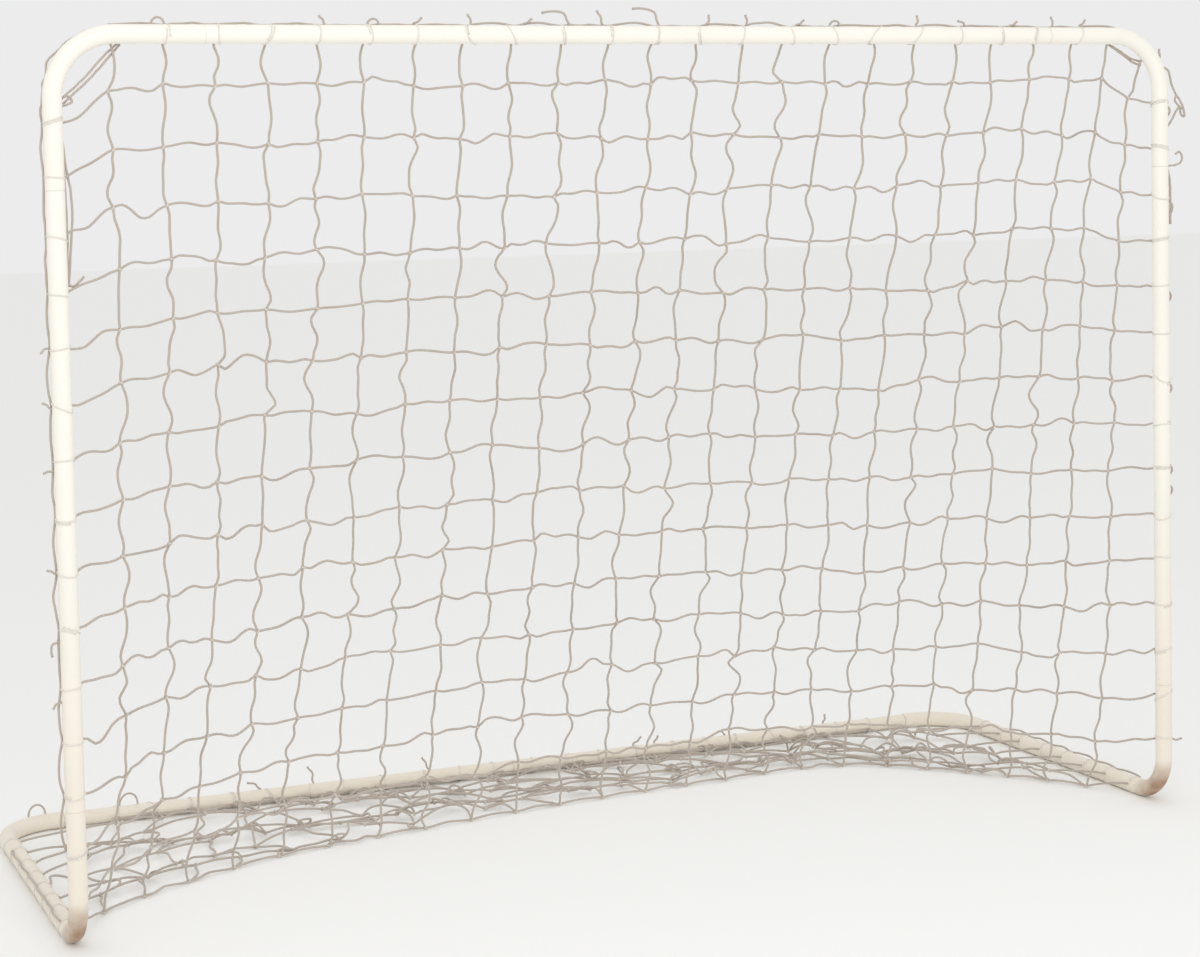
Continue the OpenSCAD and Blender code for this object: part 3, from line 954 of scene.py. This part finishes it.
@dataclass
class Lacing:
    """The twine that ties the net to the tubes: turns round the tubes, edge cords, loose ends."""

    form: NetForm
    radius: float = 0.0012
    cord_radius: float = 0.0021
    seed: int = 23

    def turn(self, mesh: TwineMesh, centre: np.ndarray, axis: np.ndarray, tube_r: float,
             rng: np.random.Generator) -> None:
        """Add a slanting turn of twine round a tube.

        Args:
            mesh: Mesh that collects the lacing.
            centre: Point on the tube's axis.
            axis: The tube's direction.
            tube_r: The tube's radius.
            rng: Source of small differences.
        """
        first = unit(np.cross(axis, [0.31, 0.9, 0.3]))
        second = np.cross(axis, first)
        turns = rng.uniform(1.05, 1.6)
        points = 26
        angle = rng.uniform(0, 2 * math.pi) + np.linspace(0, 2 * math.pi * turns, points)
        reach = tube_r + self.radius * 0.75
        lean = rng.normal(0, 0.005) * np.cos(angle - angle[0])
        slant = lean + np.linspace(0, 0.006, points) * rng.choice((-1, 1))
        path = centre + reach * (np.cos(angle)[:, None] * first + np.sin(angle)[:, None] * second)
        path = path + axis * slant[:, None]
        path[:, 2] = np.maximum(path[:, 2], self.radius)
        mesh.add(path, self.radius)

    def edge_cord(self, mesh: TwineMesh, stops: list[np.ndarray], away: np.ndarray,
                  rng: np.random.Generator) -> None:
        """Add the net's edge cord, which bows off the tube between its ties.

        Args:
            mesh: Mesh that collects the cord.
            stops: Points where it is tied.
            away: Direction off the tube.
            rng: Source of small differences.
        """
        points = []
        for a, b in zip(stops, stops[1:]):
            bow = abs(rng.normal(0, 0.004)) + 0.001
            for s in (0.0, 0.2, 0.4, 0.6, 0.8):
                lift = bow * math.sin(math.pi * s) + rng.normal(0, 0.0007)
                points.append(a + (b - a) * s + away * max(lift, 0.0))
        points.append(stops[-1])
        mesh.add(smooth_path(np.array(points), 2), self.cord_radius)

    def loose_end(self, mesh: TwineMesh, end: LooseEnd, rng: np.random.Generator) -> None:
        """Add one loose end.

        Args:
            mesh: Mesh that collects the lacing.
            end: The loose end.
            rng: Source of small differences.
        """
        base, way = np.array(end.base), unit(np.array(end.way, float))
        side = unit(np.cross(way, [0.2, 1.0, 0.1]))
        t = np.linspace(0, 1, 9)
        size = end.length
        if end.kind is Ends.LOOP:
            angle = np.linspace(-0.12, 1.12, 13) * math.pi
            path = base + way * (size * np.sin(angle))[:, None]
            path = path + side * (size * 0.8 * np.cos(angle))[:, None]
        else:
            curl = {Ends.TAIL: 0.25, Ends.HOOK: 0.9}[end.kind] * rng.choice((-1, 1))
            bend = size * curl * t**2
            rise = size * (t - (0.45 * t**3 if end.kind is Ends.HOOK else 0.0))
            wiggle = size * 0.06 * np.sin(2.6 * math.pi * t)
            path = base + way * rise[:, None] + side * (bend + wiggle)[:, None]
        mesh.add(smooth_path(path, 2), self.cord_radius * np.concatenate(
            [np.ones(2 * len(path) - 3), [1.05, 1.25]]))

    def loose_ends(self) -> list[LooseEnd]:
        """List the loose ends, each placed one by one.

        Returns:
            The loose ends.
        """
        lp = self.form.loop
        top, back = lp.bar_z + lp.tube_r, lp.front_y + 0.006
        left, right = -lp.post_x - lp.tube_r, lp.post_x + lp.tube_r
        rail_top, rail_y = 2 * lp.rail_r + 0.002, lp.rear_y
        ends = [
            LooseEnd((-0.16, back, top), (-0.1, 0, 1), 0.050, Ends.HOOK),
            LooseEnd((0.01, back, top), (0.05, 0, 1), 0.052, Ends.HOOK),
            LooseEnd((-0.095, back, top), (-0.6, 0.1, 0.8), 0.030),
            LooseEnd((-0.888, back, top - 0.002), (0.1, 0, 1), 0.014, Ends.LOOP),
            LooseEnd((-0.52, back, top - 0.002), (0.2, 0, 1), 0.013, Ends.LOOP),
            LooseEnd((0.36, back, top - 0.002), (0.3, 0, 1), 0.013, Ends.LOOP),
        ]
        for x, lean in ((-0.6, -1.2), (-0.45, 0.9), (-0.34, -0.7), (-0.25, 1.0), (0.1, 0.8), (0.185, -0.4),
                        (0.28, 1.0), (0.53, 0.5), (0.64, -0.8), (0.73, 1.1), (0.83, -0.5), (0.885, 0.7)):
            ends.append(LooseEnd((x, back, top - 0.001), (lean, 0.1, 1), 0.022))
        for z, drop in ((1.0, -0.3), (0.9, 0.4), (0.8, -0.5), (0.63, 0.2), (0.42, -0.4)):
            ends.append(LooseEnd((left + 0.001, lp.front_y + 0.006, z), (-1, 0.1, drop), 0.018))
        ends.append(LooseEnd((left, lp.front_y + 0.006, 0.52), (-1, 0.1, -0.1), 0.026, Ends.HOOK))
        ends += [
            LooseEnd((1.068, lp.front_y + 0.006, 1.445), (-0.2, 0, 1), 0.034),
            LooseEnd((right - 0.002, lp.front_y + 0.006, 1.17), (0.8, 0.05, 0.3), 0.020, Ends.LOOP),
            LooseEnd((right - 0.004, lp.front_y - 0.002, 0.13), (1, -0.2, -0.4), 0.024),
        ]
        for z in (1.36, 1.0, 0.82, 0.66, 0.62):
            ends.append(LooseEnd((right - 0.002, lp.front_y + 0.006, z), (1, 0.05, -0.4), 0.014, Ends.LOOP))
        for x, lean, size, kind in (
            (-0.99, 0.2, 0.020, Ends.LOOP), (-0.81, 0.3, 0.022, Ends.LOOP), (-0.54, -1.0, 0.030, Ends.TAIL),
            (-0.43, 0.0, 0.034, Ends.TAIL), (-0.18, -0.9, 0.030, Ends.TAIL), (0.28, 0.9, 0.026, Ends.TAIL),
            (0.33, 0.5, 0.018, Ends.TAIL), (0.50, -0.8, 0.016, Ends.TAIL), (0.74, 0.7, 0.020, Ends.TAIL),
        ):
            ends.append(LooseEnd((x, rail_y + 0.004, rail_top), (lean, 0.2, 1), size, kind))
        return ends

    def build(self, lace: bpy.types.Material, cord: bpy.types.Material) -> list[bpy.types.Object]:
        """Build the lacing.

        Args:
            lace: Finish of the turns round the tubes.
            cord: Finish of the edge cords and loose ends.

        Returns:
            The turns, and the cords with their loose ends.
        """
        rng = np.random.default_rng(self.seed)
        form, lp = self.form, self.form.loop
        turns, cords = TwineMesh(sides=6), TwineMesh(sides=6)
        x_axis, y_axis, z_axis = np.eye(3)
        for i in range(1, form.edge - 1):
            x = form.knots[i, 0][0] + rng.normal(0, 0.003)
            if abs(x) < lp.post_x - lp.top_bend:
                self.turn(turns, np.array([x, lp.front_y, lp.bar_z]), x_axis, lp.tube_r, rng)
        for i, side in ((0, -1), (form.edge, 1)):
            for j in range(1, form.land_row):
                z = form.knots[i, j][2]
                if z > lp.ground_z + 0.08:
                    self.turn(turns, np.array([side * lp.post_x, lp.front_y, z]), z_axis, lp.tube_r, rng)
            for j in range(form.land_row, form.last_row + 1):
                y = form.knots[i, j][1]
                if y < lp.rear_y - lp.rear_bend:
                    self.turn(turns, np.array([side * lp.post_x, y, lp.ground_z]), y_axis, lp.tube_r, rng)
        for i in range(1, form.edge):
            x = form.rail_point(i)[0]
            if abs(x) < lp.post_x - lp.rear_bend - 0.03:
                self.turn(turns, np.array([x, lp.rear_y, lp.ground_z]), x_axis, lp.rail_r, rng)
        self.edges(cords, rng)
        for end in self.loose_ends():
            self.loose_end(cords, end, rng)
        for path in self.corner_strands(rng):
            cords.add(path, self.cord_radius)
        LOG.info("lacing: %.1f m round the tubes, %.1f m of edge cord", turns.total, cords.total)
        return [turns.build("lacing_turns", lace), cords.build("net_edge_cord", cord)]

    def corner_strands(self, rng: np.random.Generator) -> list[Path]:
        """Draw the doubled strands across the top corners and the slack ones at the posts.

        Args:
            rng: Source of small differences.

        Returns:
            Centre lines of the strands.
        """
        lp, paths = self.form.loop, []
        y = lp.front_y + 0.016
        strands = (
            ((-0.924, 1.490), (-0.950, 1.490), (-0.976, 1.468), (-1.010, 1.432), (-1.046, 1.400)),
            ((-0.948, 1.488), (-0.968, 1.466), (-1.004, 1.428), (-1.044, 1.392)),
            ((-1.046, 1.402), (-1.034, 1.404), (-1.030, 1.394), (-1.046, 1.388)),
            ((0.960, 1.488), (0.984, 1.476), (1.008, 1.462), (1.030, 1.456)),
            ((0.962, 1.486), (0.986, 1.472), (1.010, 1.456), (1.032, 1.448)),
            ((-1.048, 1.344), (-1.042, 1.290), (-1.034, 1.230), (-1.038, 1.160), (-1.044, 1.096)),
            ((-1.048, 1.352), (-1.046, 1.290), (-1.044, 1.220), (-1.044, 1.150), (-1.046, 1.100)),
            ((-1.044, 1.100), (-1.036, 1.096), (-1.026, 1.104), (-1.018, 1.112)),
            ((1.066, 1.448), (1.088, 1.438), (1.096, 1.412), (1.106, 1.392), (1.120, 1.372), (1.126, 1.350),
             (1.118, 1.352), (1.112, 1.366), (1.096, 1.342), (1.080, 1.322)),
            ((1.108, 1.392), (1.104, 1.380), (1.112, 1.370), (1.122, 1.362)),
            ((1.080, 1.252), (1.098, 1.254), (1.114, 1.258), (1.120, 1.268), (1.114, 1.280), (1.104, 1.276)),
            ((1.084, 1.252), (1.090, 1.230), (1.092, 1.196), (1.092, 1.140)),
            ((1.084, 1.250), (1.086, 1.226), (1.086, 1.190), (1.088, 1.140)),
        )
        for points in strands:
            behind = y if abs(points[0][0]) < 1.055 else lp.front_y + 0.006
            path = smooth_path(np.array([[x, behind, z] for x, z in points]), 5)
            paths.append(path + rng.normal(0, 0.0003, path.shape))
        return paths

    def edges(self, cords: TwineMesh, rng: np.random.Generator) -> None:
        """Add the four edge cords of the net.

        Args:
            cords: Mesh that collects the cords.
            rng: Source of small differences.
        """
        form, lp = self.form, self.form.loop
        tube_reach = lp.tube_r + self.cord_radius
        rail_reach = lp.rail_r + self.cord_radius
        # The cord lies on the tube at about two o'clock, seen from its end
        most, half = 0.86, 0.5
        rear = lp.front_y + tube_reach * half
        high = lp.bar_z + tube_reach * most
        bar = [np.array([x, rear, high]) for x in np.arange(-11, 12) * form.pitch]
        self.edge_cord(cords, bar, unit(np.array([0.0, 0.3, 1.0])), rng)
        bend_reach = lp.top_bend + lp.tube_r * 0.9
        bend_x, bend_z = lp.post_x - lp.top_bend, lp.bar_z - lp.top_bend
        for i, side in ((0, -1), (form.edge, 1)):
            out = side * (lp.post_x + tube_reach * most)
            post = [np.array([out, rear, form.knots[i, j][2]]) for j in range(1, form.land_row - 1)]
            bend = [np.array([side * (bend_x + bend_reach * math.sin(a)), rear,
                              bend_z + bend_reach * math.cos(a)]) for a in (0.0, 0.4, 0.8, 1.2, math.pi / 2)]
            self.edge_cord(cords, bend + post, np.array([side * 1.0, 0.0, 0.0]), rng)
            ground_x, ground_z = side * (lp.post_x + tube_reach * 0.7), lp.ground_z + tube_reach * 0.71
            ground = [np.array([ground_x, form.knots[i, j][1], ground_z])
                      for j in range(form.land_row, form.last_row - 1)]
            self.edge_cord(cords, ground, unit(np.array([side * 1.0, 0.0, 0.6])), rng)
        rail_y, rail_z = lp.rear_y - rail_reach * 0.8, lp.ground_z - rail_reach * half
        rail = [np.array([form.rail_point(i)[0], rail_y, rail_z]) for i in range(2, form.edge - 1)]
        self.edge_cord(cords, rail, np.array([0.0, -1.0, 0.0]), rng)


# ---- frame ----


@dataclass
class GoalFrame:
    """The tube loop with its lock buttons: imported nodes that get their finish."""

    nodes: dict[str, bpy.types.Object]
    loop: Loop

    def dress(self) -> None:
        """Give every packed metal node its finish."""
        coat = PowderCoat((self.loop.post_x, self.loop.front_y)).build()
        zinc = BareMetal("zinc_plate", "C9C8C2", "A8A69E", 0.32).build()
        for name, node in self.nodes.items():
            if name.startswith("button"):
                finish = zinc
            else:
                finish = coat
            node.data.materials.clear()
            node.data.materials.append(finish)
            for face in node.data.polygons:
                face.material_index = 0
        LOG.info("frame: %d packed nodes dressed", len(self.nodes))


@dataclass
class LockSprings:
    """U-shaped leaf springs inside the spigots, fixed to the frame; the real ones fold flatter as their
    buttons go in.
    """

    nodes: dict[str, bpy.types.Object]
    joints: list[dict[str, Any]]

    def build(self) -> list[bpy.types.Object]:
        """Build one spring for each lock.

        Returns:
            The springs.
        """
        steel = BareMetal("spring_steel", "85888C", "5F6266", 0.38).build()
        springs = []
        for joint in self.joints:
            site = joint["name"].removeprefix("press_")
            node = f"spring_{site}"
            mesh = self.nodes[node].data.copy()
            mesh.materials.clear()
            mesh.materials.append(steel)
            spring = bpy.data.objects.new(f"leaf_spring_{site}", mesh)
            bpy.context.scene.collection.objects.link(spring)
            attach(spring, "frame")
            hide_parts(node)
            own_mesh(spring)
            springs.append(spring)
        LOG.info("locks: %d leaf springs", len(springs))
        return springs


# ---- studio ----


@dataclass
class Studio:
    """Pale floor, soft light and the camera.

    Attributes:
        yaw: Turn of the camera to the right, in degrees.
        pitch: Tilt of the camera down, in degrees.
        roll: Lean of the camera, in degrees.
    """

    eye: tuple[float, float, float] = (-1.80, -4.46, 1.27)
    yaw: float = 22.55
    pitch: float = 3.42
    roll: float = -1.16
    lens_mm: float = 74.8
    sensor_mm: float = 36.0
    shift: float = -0.134
    floor_size: float = 60.0
    sky: float = 0.84
    lamp_size: float = 3.0
    lamp_watts: float = 52.0

    def camera(self) -> None:
        """Place the camera."""
        data = bpy.data.cameras.new("camera")
        data.sensor_width = self.sensor_mm
        data.lens = self.lens_mm
        data.shift_y = self.shift
        data.clip_end = 200.0
        data.dof.use_dof = False
        camera = bpy.data.objects.new("camera", data)
        yaw, pitch, roll = (math.radians(v) for v in (self.yaw, self.pitch, self.roll))
        turn = (Matrix.Rotation(-yaw, 4, "Z") @ Matrix.Rotation(math.pi / 2 - pitch, 4, "X")
                @ Matrix.Rotation(roll, 4, "Z"))
        camera.matrix_world = Matrix.Translation(self.eye) @ turn
        bpy.context.scene.collection.objects.link(camera)
        bpy.context.scene.camera = camera

    def floor(self) -> None:
        """Lay the floor."""
        half = self.floor_size / 2
        mesh = bpy.data.meshes.new("floor")
        mesh.from_pydata([(-half, -half, 0), (half, -half, 0), (half, half, 0), (-half, half, 0)], [],
                         [(0, 1, 2, 3)])
        mesh.materials.append(PaleFloor().build())
        floor = bpy.data.objects.new("studio_floor", mesh)
        bpy.context.scene.collection.objects.link(floor)

    def lights(self) -> None:
        """Hang one large soft light in front, with white light all round."""
        world = bpy.data.worlds.new("studio")
        world.use_nodes = True
        background = world.node_tree.nodes["Background"]
        background.inputs["Color"].default_value = srgb("FFFFFF")
        background.inputs["Strength"].default_value = self.sky
        bpy.context.scene.world = world
        bpy.context.scene.view_settings.view_transform = "Standard"
        light = bpy.data.lights.new("front", "AREA")
        light.shape = "DISK"
        light.size = self.lamp_size
        light.energy = self.lamp_watts
        lamp = bpy.data.objects.new("front", light)
        spot = Matrix.Translation((-1.2, -4.2, 3.2))
        lamp.matrix_world = spot @ Matrix.Rotation(-0.3, 4, "Z") @ Matrix.Rotation(math.radians(58), 4, "X")
        bpy.context.scene.collection.objects.link(lamp)

    def build(self) -> None:
        """Set up the studio."""
        self.camera()
        self.floor()
        self.lights()
        LOG.info("studio: camera, floor and lights")


def main() -> None:
    """Build the looks in order: frame, net, lacing, studio."""
    nodes = frame["nodes"]
    soft = {n for n in nodes if n.startswith(("net_", "lashing_"))}
    hidden = soft | {n for n in nodes if n.startswith("spring_")}
    loop = Loop.measure()
    GoalFrame({n: o for n, o in nodes.items() if n not in hidden}, loop).dress()
    LockSprings(nodes, frame["joints"]).build()

    form = NetForm(loop)
    form.settle()
    twine = Twine("net_twine", "D9CFC4", "9D8E80").build()
    pale = Twine("knot_twine", "EBE4DB", "C2B6A9").build()
    lace = Twine("lacing_twine", "F8F4ED", "E8E0D5", lay_mm=6.0).build()

    net = Netting(form)
    netting, knots = net.build(twine, pale)
    lacing = Lacing(form)
    turns, cords = lacing.build(lace, twine)
    for piece in (netting, knots, turns, cords):
        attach(piece, "frame")
        LOG.info("%s: %d points", piece.name, len(piece.data.vertices))
    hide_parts(*sorted(n for n in soft if n.startswith("net_")))
    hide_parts(*sorted(n for n in soft if n.startswith("lashing_")))
    # The area stands for the skin of its twine, not for the cut, and it is the lowest share of
    # the flat size that a sheet may declare.
    Studio().build()


if __name__ == "__main__":
    main()
